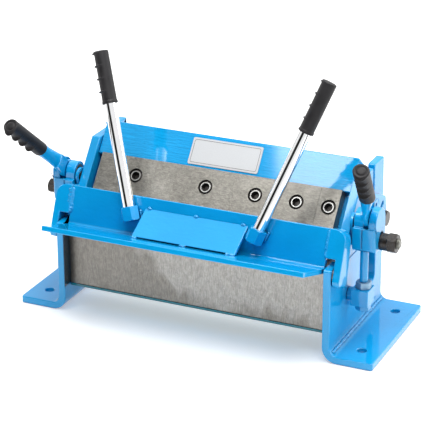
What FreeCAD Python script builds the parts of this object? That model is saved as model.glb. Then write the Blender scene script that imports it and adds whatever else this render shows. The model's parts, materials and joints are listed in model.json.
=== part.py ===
import FreeCAD, Part
import math
import os
from FreeCAD import Vector

# Bench-top box and pan brake, 305 mm class, with an apron that swings up,
# a clamping beam with five fingers, and two clamp levers on eccentric shafts.
#
# Lengths are in millimetres and angles in degrees. +X runs along the bed to the
# right, +Y to the back and +Z up. The origin is the middle of the four bench
# bolt holes, on the underside of the feet. The apron is drawn swung up, leaning
# back past the vertical, and the beam is drawn clamped down on the bed.

# Fits and gaps
running_gap = 0.05
screw_gap = 0.1
seat_gap = 0.1
finger_gap = 0.1

# Side frames: one bent plate each, a cheek in front, a rail, a notch and a post
frame_gap = 326.0
frame_t = 9.0
frame_depth = 171.0
frame_bend_r = 9.0
frame_corner_r = 3.0
foot_reach = 51.5
cheek_length = 27.0
cheek_slope = 14.0
rail_rise = 2.6
post_rise = 88.6
post_width = 34.0
post_taper = 3.0
post_step = 10.0
post_step_above_rail = 5.0
notch_width = 25.0
notch_floor = 42.0
bench_hole_d = 11.0
bench_hole_from_side = 23.0
bench_hole_from_end = 29.0

# Bed and its tie plate
tie_under = 28.6
tie_t = 3.0
tie_depth = 62.0
bed_height = 70.8
bed_depth = 45.0
bed_chamfer = 0.8
bed_screw_xs = (-130.0, -45.0, 45.0, 130.0)
bed_screw_bite = 14.0
rear_tie_height = 40.0
rear_tie_t = 10.0
rear_tie_under = 16.0
rear_tie_inset = 9.0

# Apron hinge
hinge_inset = 13.9
hinge_cover = 10.3
hinge_pin_d = 10.0
bush_wall = 2.0
bush_flange_d = 19.0
bed_gap = 0.5

# Apron: an angle whose outer corner is the hinge line, with a gusset and two arms
apron_lean = 18.4
apron_side_gap = 2.0
apron_t = 6.0
apron_root_r = 3.0
leaf_height = 51.2
flange_depth = 71.5
gusset_width = 129.0
gusset_t = 5.0
gusset_up_leaf = 39.0
gusset_along_flange = 37.0
gusset_root_gap = 1.4
gusset_end_weld = 5.0
gusset_mid_weld = 7.5
arm_gap = 1.0
arm_leg_t = 8.6
arm_notch_rise = 18.0
arm_drop = 12.0
arm_front_low = 11.5
arm_rear_low = 16.5
arm_rear_top = 11.6
arm_corner_r = 6.0
arm_shoulder_r = 13.0
pin_skin = 2.0

# Apron handles
handle_from_gusset = 16.8
handle_up_leaf = 38.0
handle_splay = 19.3
handle_rod_d = 14.0
handle_reach = 121.1
socket_flats = 19.0
socket_length = 16.4
handle_grip_d = 16.6
handle_grip_length = 62.0
grip_cap = 4.0
grip_cap_extra = 1.4
grip_overlap = 48.0

# Fingers on the beam
finger_slope = 52.0
finger_setback = 13.4
finger_widths = (100.0, 75.0, 55.0, 50.0, 25.0)
finger_height = 92.4
finger_t = 15.0
finger_foot = 30.0
finger_edge_r = 0.6
finger_screw_down = 22.4
finger_screw_shifts = (0.0, 3.0, 0.9, -0.6, 1.0)
head_pocket_room = 1.5
head_pocket_over = 0.5

# Beam panel, its end plates and its rear plate
panel_low = 28.0
panel_front_depth = 6.0
panel_back_depth = 25.0
panel_ear = 1.5
panel_ear_height = 5.1
panel_corner_r = 4.0
end_plate_lap = 1.75
end_plate_proud = 0.5
end_plate_top_rise = 86.6
end_plate_low_gap = 1.0
end_plate_front_low = 24.0
end_plate_toe = 16.0
end_plate_rear_gap = 6.0
rear_plate_t = 8.0
rear_plate_from_end = 11.0
rear_plate_low_rise = 7.6
label_width = 89.0
label_height = 33.0
label_t = 0.8
label_above_fingers = 4.0
label_corner_r = 2.0

# Beam pivot at the rear, on arms outside the posts
pivot_from_post_front = 11.0
pivot_rise = 19.6
beam_arm_t = 7.5
beam_arm_front_lap = 17.0
beam_arm_top_rise = 62.6
beam_arm_rear_rise = 44.6
beam_arm_low_rise = 9.6
beam_arm_lobe_r = 12.0
beam_arm_corner_r = 5.0
beam_arm_rear_over = 8.0
arm_slot_width = 6.0
arm_slot_run = 11.0
arm_slot_fall = 8.5
arm_slot_back = 3.0
arm_slot_rise = 19.5
arm_screw_inset = 8.0
arm_screw_spread = 24.0
pivot_shoulder_d = 12.0
pivot_thread_d = 10.0
pivot_head_flats = 17.0
pivot_head_t = 4.2
pivot_washer_d = 21.0
pivot_washer_t = 1.2

# Lift straps: plates on the beam's ends that the eccentric stubs work in
strap_t = 3.2
strap_r = 9.8

# Clamp levers on eccentric shafts
lever_setback = 55.5
lever_rise = 48.6
right_lever_lean = 43.7
left_lever_lean = 48.6
lever_swing = 100.0
eccentric = 3.5
eccentric_play = 0.35
shaft_d = 18.0
shaft_nose_d = 14.0
stub_d = 10.0
hub_r = 13.0
hub_t = 5.5
hub_gap = 0.4
blade_reach = 30.0
blade_ahead = 12.0
blade_behind = 8.2
blade_half = 8.5
arm_root_half = 10.5
lever_crank = 10.4
lever_grip_crank = 9.0
lever_arm_length = 61.5
lever_neck_d = 16.0
lever_stem_d = 9.0
lever_stem_length = 50.0
lever_grip_d = 18.0
lever_grip_length = 68.0
hub_screw_d = 3.0
hub_screw_length = 4.6
hub_screw_turn = 110.0

# Yokes that hold the eccentric shafts, and the draw rods that hold the yokes
yoke_gap = 5.0
yoke_inner_t = 12.0
yoke_inner_r = 13.0
yoke_outer_t = 9.2
yoke_outer_r = 16.0
yoke_front = 17.5
yoke_drop = 33.0
yoke_web_drop = 5.0
yoke_room = 1.0
yoke_edge_r = 4.5
yoke_seam = 0.8
yoke_skin = 2.0
rod_d = 9.5
rod_ahead = 10.0
rod_from_yoke_side = 12.7
rod_bite = 18.0
rod_head_flats = 16.0
rod_head_t = 6.4
rod_nut_t = 8.0
rod_flats_turn = 30.0
block_low = 52.0
block_height = 20.0
block_width = 21.0
block_depth = 22.0
block_standoff = 6.0
block_neck_d = 16.0
block_tenon_d = 12.0

# Guide studs of the beam, through the slots of the yokes
stud_d = 12.0
stud_behind = 3.5
stud_drop = 25.0
stud_play = 0.4
stud_chamfer = 1.8
right_stud_end = 3.4
right_collar_length = 8.8
right_nut_flats = 21.0
right_nut_t = 10.5
left_stud_end = 0.5
left_collar_length = 5.0
left_nut_flats = 16.0
left_nut_t = 9.5
collar_d = 20.0

# Socket head screws: M8 for the bed and the beam arms, M10 for the fingers
m8_shank_d = 8.0
m8_head_d = 13.0
m8_head_t = 8.0
m8_hex = 6.0
m8_hex_depth = 4.5
m8_sunk_d = 16.0
m8_sunk_t = 4.0
m8_sunk_hex = 5.0
m8_sunk_hex_depth = 3.0
m10_shank_d = 10.0
m10_head_d = 16.0
m10_head_t = 10.0
m10_hex = 8.0
m10_hex_depth = 5.5
head_edge_r = 1.0

# Places that follow from the sizes above
bed_top = tie_under + tie_t + bed_height
frame_inner = frame_gap / 2
frame_outer = frame_inner + frame_t
frame_front = -frame_depth / 2
frame_rear = frame_depth / 2
foot_outer = frame_outer + foot_reach
hinge_y = frame_front + hinge_inset
hinge_z = bed_top
rail_z = bed_top + rail_rise
post_front = frame_rear - post_width
nose_y = hinge_y + finger_setback
nose_z = bed_top + seat_gap
panel_half = frame_inner - end_plate_lap
end_plate_outer = frame_outer + end_plate_proud
end_plate_rear = post_front - end_plate_rear_gap
end_plate_top = bed_top + end_plate_top_rise
pivot_y = post_front + pivot_from_post_front
pivot_z = bed_top + pivot_rise
lever_y = hinge_y + lever_setback
lever_z = bed_top + lever_rise
yoke_in = frame_outer + yoke_gap
slot_in = yoke_in + yoke_inner_t
slot_out = slot_in + hub_t + 2 * hub_gap
yoke_out = slot_out + yoke_outer_t
hub_mid = (slot_in + slot_out) / 2
yoke_low = lever_z - yoke_drop
rod_y = lever_y - rod_ahead
rod_x = yoke_in + rod_from_yoke_side
stud_y = lever_y + stud_behind
stud_z = lever_z - stud_drop
apron_half = frame_inner - apron_side_gap
handle_x = gusset_width / 2 + handle_from_gusset
arm_leg_in = frame_outer + arm_gap
arm_outer = arm_leg_in + arm_leg_t
beam_arm_out = end_plate_outer + beam_arm_t

# The eccentric lifts the beam's end by this much, and the beam turns by this angle
half_swing = math.radians(lever_swing / 2)
beam_lift = 2 * eccentric * math.sin(half_swing)
beam_open = math.degrees(beam_lift / (pivot_y - lever_y))

X_AXIS = Vector(1, 0, 0)
Y_AXIS = Vector(0, 1, 0)
Z_AXIS = Vector(0, 0, 1)


def box(x0, x1, y0, y1, z0, z1):
    return Part.makeBox(x1 - x0, y1 - y0, z1 - z0, Vector(x0, y0, z0))


def bar(start, end, diameter):
    """Round bar between two points."""
    run = end - start
    return Part.makeCylinder(diameter / 2, run.Length, start, run)


def bar_x(x0, x1, y, z, diameter):
    return bar(Vector(x0, y, z), Vector(x1, y, z), diameter)


def corner_outline(corners, plane_x):
    """Closed wire in a YZ plane; each corner is (y, z) or (y, z, radius)."""
    points = [Vector(plane_x, c[0], c[1]) for c in corners]
    radii = [c[2] if len(c) > 2 else 0.0 for c in corners]
    count = len(points)
    enters = []
    leaves = []
    for i in range(count):
        back = (points[i - 1] - points[i]).normalize()
        ahead = (points[(i + 1) % count] - points[i]).normalize()
        half = back.getAngle(ahead) / 2
        cut = radii[i] / math.tan(half) if radii[i] else 0.0
        enters.append(points[i] + back * cut)
        leaves.append(points[i] + ahead * cut)
    edges = []
    for i in range(count):
        if radii[i]:
            inward = (enters[i] + leaves[i]) * 0.5 - points[i]
            back = enters[i] - points[i]
            to_centre = math.hypot(back.Length, radii[i])
            middle = points[i] + inward.normalize() * (to_centre - radii[i])
            edges.append(Part.Arc(enters[i], middle, leaves[i]).toShape())
        start = leaves[i]
        end = enters[(i + 1) % count]
        if start.distanceToPoint(end) > 1e-6:
            edges.append(Part.LineSegment(start, end).toShape())
    return Part.Wire(edges)


def plate_x(corners, x0, x1):
    """Plate with a YZ outline, from x0 to x1."""
    face = Part.Face(corner_outline(corners, x0))
    return face.extrude(Vector(x1 - x0, 0, 0))


def hex_bar(start, end, flats, turn=0.0):
    """Hexagonal bar between two points, with its end corners rounded off."""
    run = end - start
    corner_r = flats / math.sqrt(3)
    points = []
    for i in range(7):
        angle = math.radians(60 * i + turn)
        points.append(Vector(corner_r * math.cos(angle), corner_r * math.sin(angle), 0))
    prism = Part.Face(Part.makePolygon(points)).extrude(Vector(0, 0, run.Length))
    bevel = 0.12 * flats
    blank = Part.makeCylinder(corner_r, run.Length)
    rims = [edge for edge in blank.Edges if isinstance(edge.Curve, Part.Circle)]
    prism = prism.common(blank.makeChamfer(bevel * 0.6, rims))
    prism.Placement = FreeCAD.Placement(start, FreeCAD.Rotation(Z_AXIS, run))
    return prism


def nut(start, end, flats, bore, turn=0.0):
    return hex_bar(start, end, flats, turn).cut(bar(start, end, bore))


def socket_screw(seat, outward, shank_length, shank_d, head_d, head_t, flats, key_depth):
    """Socket head screw: seat is the underside of its head, outward its head's way."""
    out = Vector(outward).normalize()
    head = bar(seat, seat + out * head_t, head_d)
    top_rim = [e for e in head.Edges if isinstance(e.Curve, Part.Circle)]
    top_rim.sort(key=lambda e: (e.CenterOfMass - seat).dot(out))
    head = head.makeFillet(head_edge_r, [top_rim[-1]])
    shank = bar(seat, seat - out * shank_length, shank_d)
    key = hex_bar(seat + out * (head_t - key_depth), seat + out * (head_t + key_depth), flats)
    return head.fuse(shank).removeSplitter().cut(key)


def m8_screw(seat, outward, shank_length):
    return socket_screw(seat, outward, shank_length,
                        m8_shank_d, m8_head_d, m8_head_t, m8_hex, m8_hex_depth)


def m8_sunk_head(face, out):
    """Cone of a countersunk head whose flat top lies in the face."""
    return Part.makeCone(m8_shank_d / 2, m8_sunk_d / 2, m8_sunk_t, face - out * m8_sunk_t, out)


def m8_sunk_screw(face, out, length):
    """Countersunk socket screw, flush with the face that it holds."""
    shank = bar(face - out * m8_sunk_t, face - out * length, m8_shank_d)
    key = hex_bar(face - out * m8_sunk_hex_depth, face + out * m8_sunk_hex_depth, m8_sunk_hex)
    return m8_sunk_head(face, out).fuse(shank).removeSplitter().cut(key)


def m10_screw(seat, outward, shank_length):
    return socket_screw(seat, outward, shank_length,
                        m10_shank_d, m10_head_d, m10_head_t, m10_hex, m10_hex_depth)


def mirrored(shape):
    return shape.mirror(Vector(0, 0, 0), X_AXIS)


def lean_back(shape):
    """Turn the apron's pieces, drawn upright, back about the hinge line."""
    turned = shape.copy()
    turned.rotate(Vector(0, hinge_y, hinge_z), X_AXIS, -apron_lean)
    return turned


def on_slope(shape):
    """Place a piece drawn flat (y up the finger face, z out of it) on the slope."""
    placed = shape.copy()
    placed.rotate(Vector(0, 0, 0), X_AXIS, finger_slope)
    placed.translate(Vector(0, nose_y, nose_z))
    return placed


def slope_point(x, up, depth):
    """Point on the finger slope: up from the nose, depth behind the face."""
    angle = math.radians(finger_slope)
    y = nose_y + up * math.cos(angle) + depth * math.sin(angle)
    z = nose_z + up * math.sin(angle) - depth * math.cos(angle)
    return Vector(x, y, z)


def up_at_height(z, depth):
    """How far up the slope the plane at this depth reaches height z."""
    angle = math.radians(finger_slope)
    return (z - nose_z + depth * math.cos(angle)) / math.sin(angle)


def slope_at_height(z, depth):
    """Y of the plane at this depth behind the finger face, at height z."""
    return slope_point(0, up_at_height(z, depth), depth).y


def turned_open(point, share):
    """Where a point fixed to the beam goes when the beam is opened by this share."""
    angle = math.radians(beam_open) * share
    y = point.y - pivot_y
    z = point.z - pivot_z
    turned_y = y * math.cos(angle) + z * math.sin(angle)
    turned_z = -y * math.sin(angle) + z * math.cos(angle)
    return Vector(point.x, pivot_y + turned_y, pivot_z + turned_z)


def stub_centre(share):
    """Centre of the eccentric stub when the lever is swung by this share."""
    angle = half_swing * (2 * share - 1)
    y = lever_y - eccentric * math.cos(angle)
    z = lever_z + eccentric * math.sin(angle)
    return Vector(0, y, z)


def stub_in_beam(share):
    """The stub's centre as seen from the beam, turned back to its clamped place."""
    centre = stub_centre(share)
    angle = -math.radians(beam_open) * share
    y = centre.y - pivot_y
    z = centre.z - pivot_z
    turned_y = y * math.cos(angle) + z * math.sin(angle)
    turned_z = -y * math.sin(angle) + z * math.cos(angle)
    return Vector(0, pivot_y + turned_y, pivot_z + turned_z)


# Root: side frames, bed and ties

def side_frame():
    """Right side frame: upright plate, bend and foot in one piece."""
    top_front = hinge_z + hinge_cover
    notch_rear = post_front + post_step
    notch_front = notch_rear - notch_width
    step_low = rail_z - post_step_above_rail
    step_high = step_low + post_step
    upright = plate_x([
        (frame_front, 0),
        (frame_front, top_front, frame_corner_r),
        (frame_front + cheek_length, top_front, frame_corner_r),
        (frame_front + cheek_length + cheek_slope, rail_z),
        (notch_front, rail_z, frame_corner_r),
        (notch_front, notch_floor, notch_width * 0.4),
        (notch_rear, notch_floor, notch_width * 0.4),
        (notch_rear, step_low),
        (post_front, step_high),
        (post_front, bed_top + post_rise, frame_corner_r),
        (frame_rear - post_taper, bed_top + post_rise, frame_corner_r),
        (frame_rear, rail_z),
        (frame_rear, 0)], frame_inner, frame_outer)
    foot = box(frame_inner, foot_outer, frame_front, frame_rear, 0, frame_t)
    corner = frame_outer + frame_bend_r
    level = frame_t + frame_bend_r
    outside = box(frame_inner, corner, frame_front, frame_rear, 0, level).cut(
        Part.makeCylinder(level, frame_depth, Vector(corner, frame_front, level), Y_AXIS))
    inside = box(frame_outer, corner, frame_front, frame_rear, frame_t, level).cut(
        Part.makeCylinder(frame_bend_r, frame_depth, Vector(corner, frame_front, level), Y_AXIS))
    frame = upright.fuse([foot, inside]).cut(outside).removeSplitter()
    toe_edges = [e for e in frame.Edges if is_toe_edge(e)]
    frame = frame.makeFillet(frame_corner_r, toe_edges)
    hole_x = foot_outer - bench_hole_from_side
    hole_y = frame_rear - bench_hole_from_end
    cuts = []
    for y in (-hole_y, hole_y):
        cuts.append(Part.makeCylinder(bench_hole_d / 2, frame_t, Vector(hole_x, y, 0)))
    bush_d = hinge_pin_d + 2 * (running_gap + bush_wall)
    cuts.append(bar_x(frame_inner, frame_outer, hinge_y, hinge_z, bush_d))
    block_z = block_low + block_height / 2
    cuts.append(bar_x(frame_inner, frame_outer, rod_y, block_z, block_tenon_d + screw_gap))
    cuts.append(bar_x(frame_inner, frame_outer, pivot_y, pivot_z, pivot_thread_d + screw_gap))
    return frame.cut(cuts)


def is_toe_edge(edge):
    """The foot's two upright corner edges, at its outer side."""
    middle = edge.CenterOfMass
    upright = abs(edge.BoundBox.ZLength - frame_t) < 1e-6 and edge.BoundBox.YLength < 1e-6
    return upright and abs(middle.x - foot_outer) < 1e-6


def bed_block():
    front = hinge_y + bed_gap
    low = tie_under + tie_t
    block = box(-frame_inner, frame_inner, front, front + bed_depth, low, bed_top)
    long_edges = [e for e in block.Edges if e.BoundBox.XLength > frame_inner]
    block = block.makeChamfer(bed_chamfer, long_edges)
    holes = []
    for x in bed_screw_xs:
        foot = Vector(x, front + bed_depth / 2, low)
        holes.append(bar(foot, foot + Z_AXIS * (bed_screw_bite + 1), m8_shank_d + screw_gap))
    return block.cut(holes)


def bed_tie_plate():
    front = hinge_y + bed_gap
    plate = box(-frame_inner, frame_inner, front, front + tie_depth, tie_under, tie_under + tie_t)
    holes = []
    for x in bed_screw_xs:
        foot = Vector(x, front + bed_depth / 2, tie_under)
        holes.append(bar(foot, foot + Z_AXIS * tie_t, m8_shank_d + screw_gap))
    return plate.cut(holes)


def bed_screws():
    y = hinge_y + bed_gap + bed_depth / 2
    screws = []
    for x in bed_screw_xs:
        screws.append(m8_screw(Vector(x, y, tie_under), Vector(0, 0, -1), tie_t + bed_screw_bite))
    return Part.makeCompound(screws)


def rear_tie_bar():
    rear = frame_rear - rear_tie_inset
    top = rear_tie_under + rear_tie_height
    return box(-frame_inner, frame_inner, rear - rear_tie_t, rear, rear_tie_under, top)


# Apron and its handles

def apron_leaf():
    """Angle of the apron, drawn upright: leaf up, flange forward."""
    angle = plate_x([
        (hinge_y, hinge_z),
        (hinge_y, hinge_z + leaf_height, 1.0),
        (hinge_y - apron_t, hinge_z + leaf_height, 1.0),
        (hinge_y - apron_t, hinge_z + apron_t, apron_root_r),
        (hinge_y - flange_depth, hinge_z + apron_t, 1.0),
        (hinge_y - flange_depth, hinge_z, 1.0)], -apron_half, apron_half)
    return lean_back(angle)


def apron_gusset():
    """Slanted plate from leaf to flange, clear of the flange between three welds."""
    leaf_face = hinge_y - apron_t
    flange_face = hinge_z + apron_t
    high = Vector(0, leaf_face, hinge_z + gusset_up_leaf)
    low = Vector(0, hinge_y - gusset_along_flange, flange_face)
    slope = (high - low).normalize()
    inner_leaf = gusset_t / abs(slope.y)
    inner_flange = gusset_t / abs(slope.z)
    plate = plate_x([
        (high.y, high.z),
        (high.y, high.z - inner_leaf),
        (low.y + inner_flange, low.z),
        (low.y, low.z)], -gusset_width / 2, gusset_width / 2)
    gap_start, gap_end = gusset_mid_weld / 2, gusset_width / 2 - gusset_end_weld
    for x0, x1 in ((gap_start, gap_end), (-gap_end, -gap_start)):
        gap = box(x0, x1, low.y - 1, low.y + inner_flange + 1, low.z - 1,
                  low.z + gusset_root_gap)
        plate = plate.cut(gap)
    return lean_back(plate)


def apron_arm():
    """Right arm: a block welded to the leaf's end, with a leg outside the frame."""
    top = hinge_z + leaf_height
    low = hinge_z - arm_drop
    body = plate_x([
        (hinge_y - apron_t, top),
        (hinge_y - arm_front_low, low, arm_corner_r),
        (hinge_y + arm_rear_low, low, arm_corner_r),
        (hinge_y + arm_rear_top, top)], apron_half, arm_outer)
    body = body.makeFillet(arm_shoulder_r, [e for e in body.Edges if is_arm_shoulder(e)])
    reach = arm_front_low + arm_rear_low
    notch = box(apron_half - 1, arm_leg_in, hinge_y - reach, hinge_y + reach,
                low - 1, hinge_z + arm_notch_rise)
    pin_hole = bar_x(arm_leg_in, arm_outer - pin_skin, hinge_y, hinge_z, hinge_pin_d)
    return lean_back(body.cut(notch).cut(pin_hole))


def is_arm_shoulder(edge):
    """The arm's top edge at its outer side, which is rounded to a shoulder."""
    middle = edge.CenterOfMass
    flat_top = edge.BoundBox.ZLength < 1e-6 and middle.z > hinge_z + leaf_height - 1e-6
    return flat_top and abs(middle.x - arm_outer) < 1e-6 and edge.BoundBox.XLength < 1e-6


def hinge_bush():
    outer = hinge_pin_d + 2 * (running_gap + bush_wall)
    sleeve = bar_x(frame_inner, frame_outer, hinge_y, hinge_z, outer)
    flange = bar_x(frame_outer, arm_leg_in - seat_gap, hinge_y, hinge_z, bush_flange_d)
    bore = bar_x(frame_inner, arm_leg_in, hinge_y, hinge_z, hinge_pin_d + 2 * running_gap)
    return sleeve.fuse(flange).removeSplitter().cut(bore)


def hinge_pin():
    pin = bar_x(frame_inner + seat_gap, arm_outer - pin_skin, hinge_y, hinge_z, hinge_pin_d)
    return lean_back(pin)


def handle_axis():
    """Start and direction of the right handle, drawn upright."""
    splay = math.radians(handle_splay)
    start = Vector(handle_x, hinge_y - apron_t - socket_flats / 2, hinge_z + handle_up_leaf)
    return start, Vector(math.sin(splay), 0, math.cos(splay))


def handle_socket():
    start, way = handle_axis()
    low = start - way * socket_length
    blank = hex_bar(Vector(0, 0, 0), Vector(0, 0, socket_length), socket_flats)
    bore = Part.makeCylinder((handle_rod_d + screw_gap) / 2, socket_length)
    body = blank.cut(bore)
    body.rotate(Vector(0, 0, 0), Y_AXIS, handle_splay)
    body.translate(low)
    return lean_back(body)


def handle_rod():
    start, way = handle_axis()
    low = start - way * (socket_length - 1)
    rod = bar(low, start + way * (handle_reach + grip_overlap), handle_rod_d)
    return lean_back(rod)


def grip(base, way, diameter, length, bore, bore_depth):
    """Rubber grip: slim sleeve with a collar at its base and a domed end."""
    way = Vector(way).normalize()
    sleeve = bar(base, base + way * length, diameter)
    rims = [e for e in sleeve.Edges if isinstance(e.Curve, Part.Circle)]
    rims.sort(key=lambda e: (e.CenterOfMass - base).dot(way))
    sleeve = sleeve.makeFillet(3.0, [rims[-1]])
    collar = bar(base, base + way * grip_cap, diameter + grip_cap_extra)
    collar_rims = [e for e in collar.Edges if isinstance(e.Curve, Part.Circle)]
    collar = collar.makeFillet(0.6, collar_rims)
    body = sleeve.fuse(collar)
    return body.cut(bar(base, base + way * bore_depth, bore))


def handle_grip():
    start, way = handle_axis()
    base = start + way * handle_reach
    bore = handle_rod_d + screw_gap
    body = grip(base, way, handle_grip_d, handle_grip_length, bore, grip_overlap + seat_gap)
    return lean_back(body)


# Clamping beam and its fingers

def finger_starts():
    """Left edge of each finger, from left to right."""
    starts = []
    x = -sum(finger_widths) / 2
    for width in finger_widths:
        starts.append(x)
        x += width
    return starts


def finger_screw_xs():
    xs = []
    for start, width, shift in zip(finger_starts(), finger_widths, finger_screw_shifts):
        xs.append(start + width / 2 + shift)
    return xs


def finger(index):
    """Finger drawn flat: its sloping face is on top, its foot stands on the bed."""
    x0 = finger_starts()[index] + finger_gap / 2
    x1 = x0 + finger_widths[index] - finger_gap
    angle = math.radians(finger_slope)
    heel_up = finger_foot * math.cos(angle)
    heel_deep = finger_foot * math.sin(angle)
    shoulder = panel_low - seat_gap
    body = plate_x([
        (0, 0, finger_edge_r),
        (finger_height, 0, finger_edge_r),
        (finger_height, -finger_t, finger_edge_r),
        (shoulder, -finger_t),
        (shoulder, -heel_deep, finger_edge_r),
        (heel_up, -heel_deep, finger_edge_r)], x0, x1)
    x = finger_screw_xs()[index]
    up = finger_height - finger_screw_down
    seat = -(m10_head_t + head_pocket_over)
    pocket = bar(Vector(x, up, 0), Vector(x, up, seat), m10_head_d + head_pocket_room)
    hole = bar(Vector(x, up, 0), Vector(x, up, -finger_t), m10_shank_d + head_pocket_over)
    return on_slope(body.cut([pocket, hole]))


def finger_screws():
    up = finger_height - finger_screw_down
    seat = -(m10_head_t + head_pocket_over)
    bite = panel_back_depth + seat - 1.0
    screws = []
    for x in finger_screw_xs():
        screws.append(on_slope(m10_screw(Vector(x, up, seat), Z_AXIS, bite)))
    return Part.makeCompound(screws)


def panel_ear_low():
    """How far up the slope the panel's ears clear the tops of the end plates."""
    return up_at_height(end_plate_top + seat_gap, panel_back_depth)


def beam_panel():
    """Panel of the beam: fingers seat in its lower part, and its ears cap the end plates."""
    ear_low = panel_ear_low()
    top = ear_low + panel_ear_height
    lower = box(-panel_half, panel_half, panel_low, top,
                -panel_back_depth, -panel_front_depth)
    ears = box(-panel_half - panel_ear, panel_half + panel_ear, ear_low, top,
               -panel_back_depth, -panel_front_depth)
    panel = lower.fuse(ears).removeSplitter()
    corners = [e for e in panel.Edges if is_panel_corner(e)]
    panel = panel.makeFillet(panel_corner_r, corners)
    seat = box(-panel_half - 1, panel_half + 1, panel_low - 1, finger_height + seat_gap,
               -finger_t - seat_gap, 0)
    up = finger_height - finger_screw_down
    cuts = [seat]
    for x in finger_screw_xs():
        back = Vector(x, up, -panel_back_depth - 1)
        cuts.append(bar(Vector(x, up, 0), back, m10_shank_d + screw_gap))
    return on_slope(panel.cut(cuts))


def is_panel_corner(edge):
    """The two top corner edges of the panel, which run through its thickness."""
    middle = edge.CenterOfMass
    through = edge.BoundBox.ZLength > 1 and edge.BoundBox.XLength < 1e-6
    return through and middle.y > panel_ear_low() + panel_ear_height / 2


def label_plate():
    low = finger_height + label_above_fingers
    plate = box(-label_width / 2, label_width / 2, low, low + label_height,
                -panel_front_depth, label_t - panel_front_depth)
    corners = [e for e in plate.Edges if abs(e.BoundBox.ZLength - label_t) < 1e-6]
    return on_slope(plate.makeFillet(label_corner_r, corners))


def end_plate():
    """Right end plate of the beam, with the slot for the eccentric stub."""
    low = rail_z + end_plate_low_gap
    front_low = slope_point(0, end_plate_front_low, 0)
    front_high_y = slope_at_height(end_plate_top, 0)
    plate = plate_x([
        (front_low.y, front_low.z, frame_corner_r),
        (front_high_y, end_plate_top, frame_corner_r),
        (end_plate_rear, end_plate_top, frame_corner_r),
        (end_plate_rear, low, frame_corner_r),
        (front_low.y + end_plate_toe, low, frame_corner_r)], panel_half, end_plate_outer)
    return plate.cut([stud_hole()] + arm_screw_holes())


def stub_path():
    """Front end, rear end and height of the stub's path, as seen from the beam."""
    places = [stub_in_beam(share) for share in (0.0, 0.25, 0.5, 0.75, 1.0)]
    height = (min(p.z for p in places) + max(p.z for p in places)) / 2
    front = Vector(end_plate_outer, min(p.y for p in places), height)
    rear = Vector(end_plate_outer, max(p.y for p in places), height)
    return front, rear


def lift_strap():
    """Right lift strap: held by the guide stud, with a slot for the stub's path."""
    front, rear = stub_path()
    top = (front + rear) * 0.5
    low = Vector(end_plate_outer, stud_y, stud_z)
    strap = long_slot(low, top, 2 * strap_r, strap_t).removeSplitter()
    slot = long_slot(front, rear, stub_d + 2 * eccentric_play, strap_t)
    return strap.cut([slot, stud_hole()])


def stud_hole():
    out = end_plate_outer + strap_t
    return bar_x(panel_half, out, stud_y, stud_z, stud_d + screw_gap)


def arm_screw_places():
    y = end_plate_rear - arm_screw_inset
    middle = pivot_z + (beam_arm_top_rise - beam_arm_low_rise) / 4
    return [(y, middle - arm_screw_spread / 2), (y, middle + arm_screw_spread / 2)]


def arm_screw_holes():
    holes = []
    for y, z in arm_screw_places():
        holes.append(bar_x(panel_half, beam_arm_out, y, z, m8_shank_d + screw_gap))
    return holes


def beam_arm():
    """Right rear arm: carries the end plate back to the pivot bolt on the post."""
    front = end_plate_rear - beam_arm_front_lap
    rear = pivot_y + beam_arm_rear_over
    plate = plate_x([
        (front, bed_top + beam_arm_low_rise, beam_arm_corner_r),
        (front, bed_top + beam_arm_top_rise, beam_arm_corner_r),
        (rear, bed_top + beam_arm_rear_rise, beam_arm_corner_r),
        (pivot_y + beam_arm_lobe_r, pivot_z),
        (pivot_y, pivot_z - beam_arm_lobe_r)], end_plate_outer, beam_arm_out)
    lobe = bar_x(end_plate_outer, beam_arm_out, pivot_y, pivot_z, 2 * beam_arm_lobe_r)
    arm = plate.fuse(lobe).removeSplitter()
    bore = bar_x(end_plate_outer, beam_arm_out, pivot_y, pivot_z,
                 pivot_shoulder_d + 2 * running_gap)
    slot_rear = Vector(end_plate_outer, pivot_y - arm_slot_back, pivot_z + arm_slot_rise)
    slot_front = slot_rear + Vector(0, -arm_slot_run, -arm_slot_fall)
    sinks = [m8_sunk_head(Vector(beam_arm_out, y, z), X_AXIS) for y, z in arm_screw_places()]
    return arm.cut([bore, long_slot(slot_front, slot_rear, arm_slot_width, beam_arm_t)]
                   + arm_screw_holes() + sinks)


def long_slot(start, end, width, depth):
    """Round-ended slot through a plate, from start to end in a YZ plane."""
    way = (end - start).normalize()
    side = way.cross(X_AXIS) * (width / 2)
    corners = [start + side, end + side, end - side, start - side, start + side]
    middle = Part.Face(Part.makePolygon(corners)).extrude(X_AXIS * depth)
    ends = [Part.makeCylinder(width / 2, depth, p, X_AXIS) for p in (start, end)]
    return middle.fuse(ends)


def arm_screws():
    screws = []
    for y, z in arm_screw_places():
        length = beam_arm_out - panel_half - 1.0
        screws.append(m8_sunk_screw(Vector(beam_arm_out, y, z), X_AXIS, length))
    return Part.makeCompound(screws + [mirrored(s) for s in screws])


def beam_rear_plate():
    """Plate across the back of the beam, closing the panel and end plates to a box."""
    rear = end_plate_rear - rear_plate_from_end
    front = rear - rear_plate_t
    low = bed_top + rear_plate_low_rise
    angle = math.radians(finger_slope)
    tops = []
    for y in (front, rear):
        up = (y - nose_y - panel_back_depth * math.sin(angle)) / math.cos(angle)
        tops.append(slope_point(0, up, panel_back_depth).z)
    return plate_x([(front, low), (rear, low), (rear, tops[1]), (front, tops[0])],
                   -panel_half, panel_half)


def pivot_bolt():
    """Shouldered bolt: the arm turns on the shoulder, the thread is in the post."""
    outside = beam_arm_out + seat_gap + pivot_washer_t
    head = hex_bar(Vector(outside, pivot_y, pivot_z),
                   Vector(outside + pivot_head_t, pivot_y, pivot_z), pivot_head_flats)
    shoulder = bar_x(frame_outer, outside, pivot_y, pivot_z, pivot_shoulder_d)
    thread = bar_x(frame_inner, frame_outer, pivot_y, pivot_z, pivot_thread_d)
    return head.fuse([shoulder, thread]).removeSplitter()


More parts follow.
